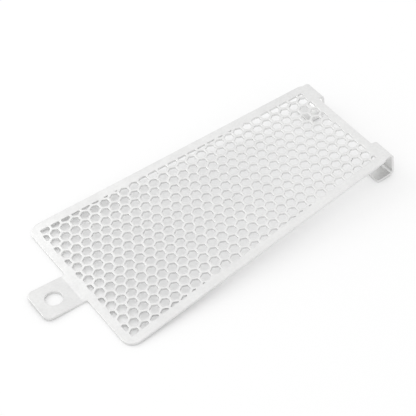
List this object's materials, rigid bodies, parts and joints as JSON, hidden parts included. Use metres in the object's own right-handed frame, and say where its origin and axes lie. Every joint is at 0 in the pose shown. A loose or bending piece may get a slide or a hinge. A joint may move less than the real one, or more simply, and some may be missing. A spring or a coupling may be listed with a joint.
{
  "type": "motorcycle radiator guard",
  "caption": "Tapered radiator guard folded from sheet metal: honeycomb panel in a plain border, bolt tab at the wide end, hooks folded under at the narrow end.",
  "frame": {"origin": "middle of the guard's outline, level with the underside of the hooks' lips", "axes": "+X along the guard from the bolt tab to the hooks, +Z out of the panel's front face"},
  "size_m": [0.275, 0.135, 0.0251],
  "materials": {
    "sheet": "satin"
  },
  "bodies": {
    "root": {"guard_sheet": "sheet"}
  },
  "joints": []
}
